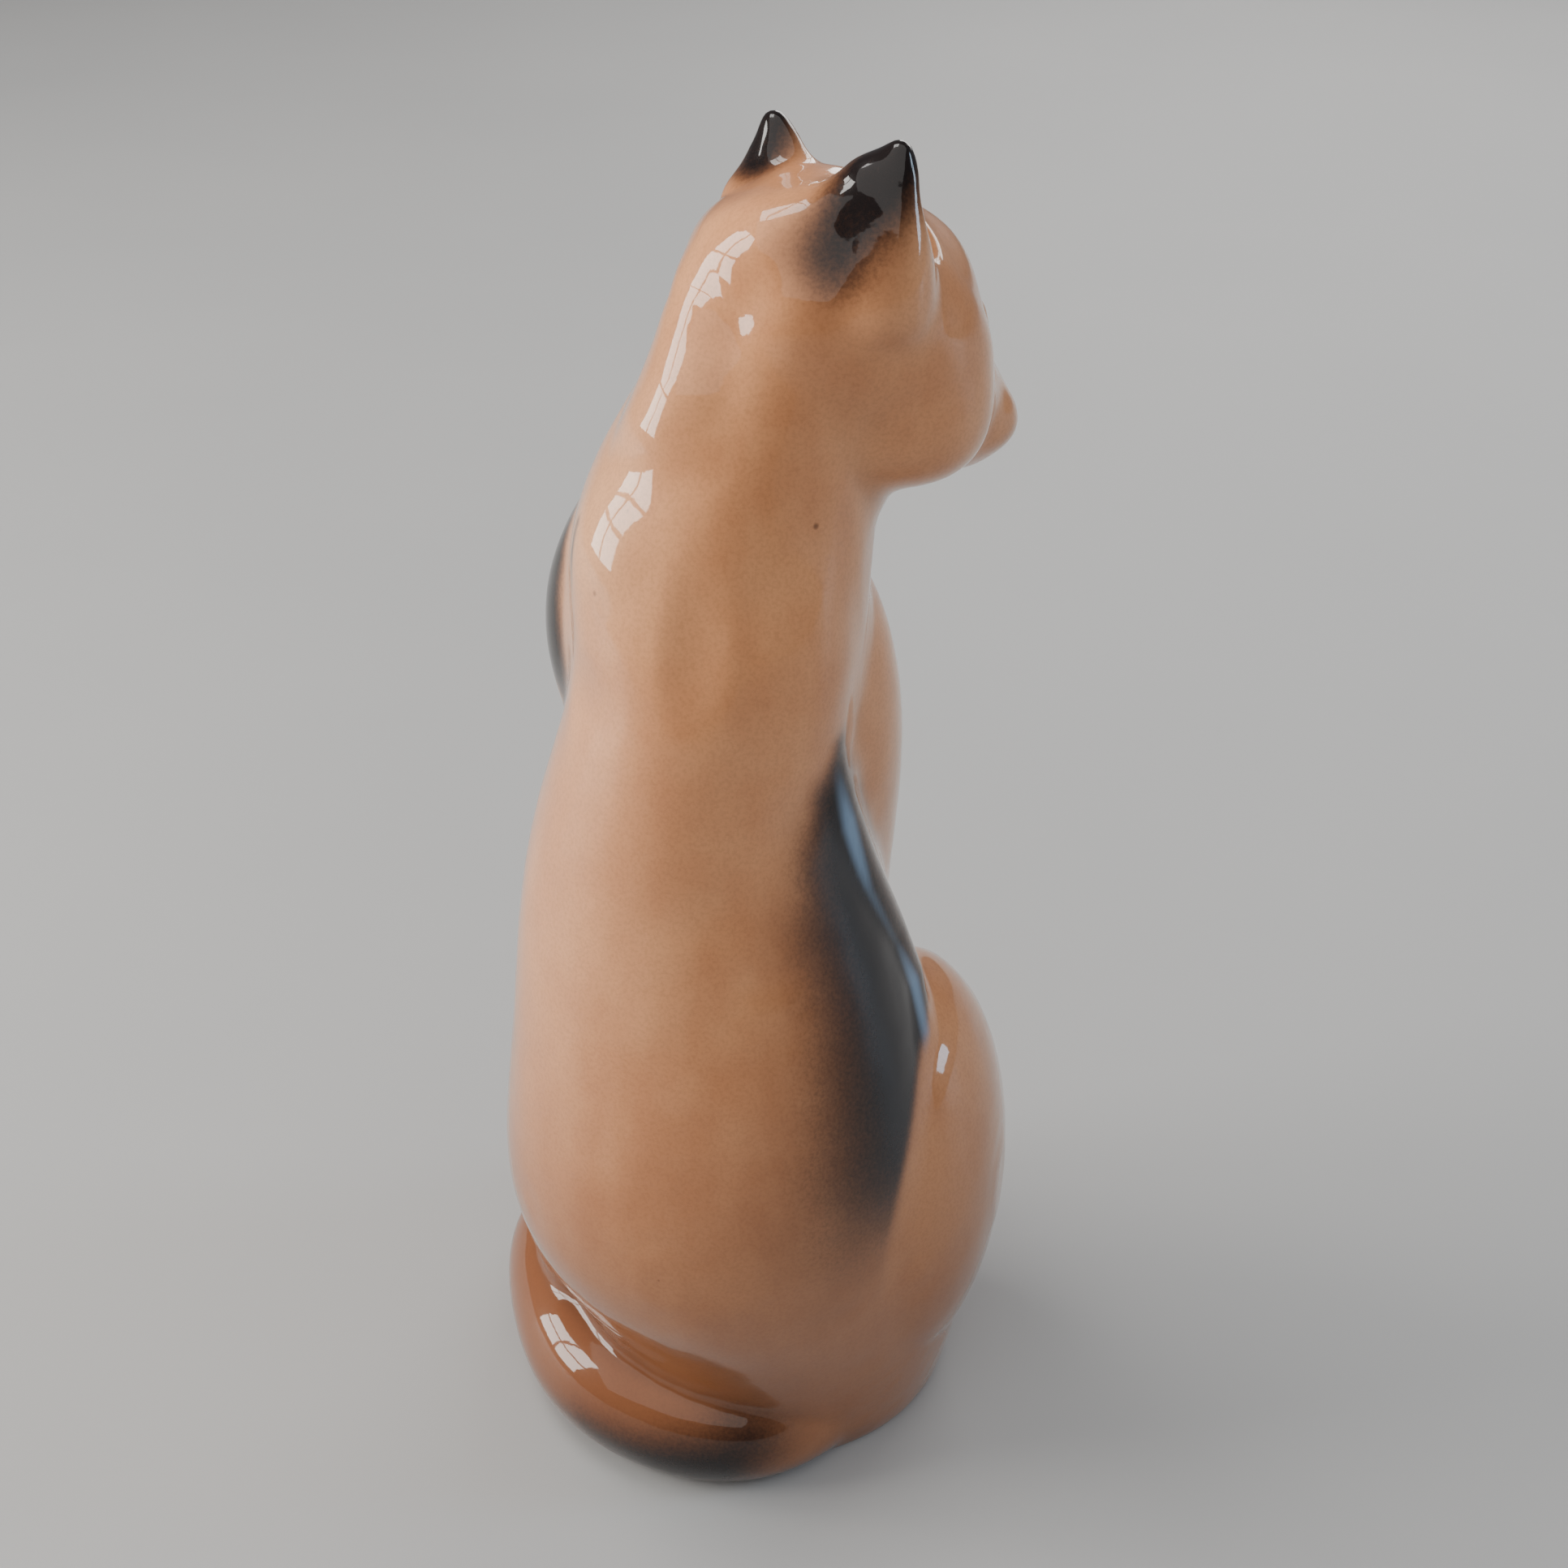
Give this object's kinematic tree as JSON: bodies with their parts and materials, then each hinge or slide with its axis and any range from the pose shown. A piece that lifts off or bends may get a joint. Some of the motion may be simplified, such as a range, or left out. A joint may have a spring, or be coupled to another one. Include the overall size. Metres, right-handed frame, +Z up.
{
  "type": "seated cat figurine",
  "caption": "Hollow glazed ceramic figurine of a seated cat, head turned to its right, tail wrapped round its left side.",
  "frame": {"origin": "on the plane that the figurine stands on, under the middle of its bounding box", "axes": "+Z up; the chest faces -Y, so the cat's own left side is +X; the face looks towards -Y turned 38 degrees to -X"},
  "size_m": [0.0626, 0.0653, 0.1534],
  "materials": {
    "glazed_body": "glossy transparent glaze over sprayed tan slip, with sprayed black-brown patches",
    "eye_enamel": "glossy painted enamel",
    "nose_enamel": "glossy painted enamel"
  },
  "bodies": {
    "root": {"body_shell": "glazed_body", "head_shell": "glazed_body", "left_ear": "glazed_body", "right_ear": "glazed_body", "left_foreleg": "glazed_body", "right_foreleg": "glazed_body", "left_hind_paw": "glazed_body", "right_hind_paw": "glazed_body", "tail": "glazed_body", "left_eye": "eye_enamel", "right_eye": "eye_enamel", "nose_leather": "nose_enamel"}
  },
  "joints": []
}
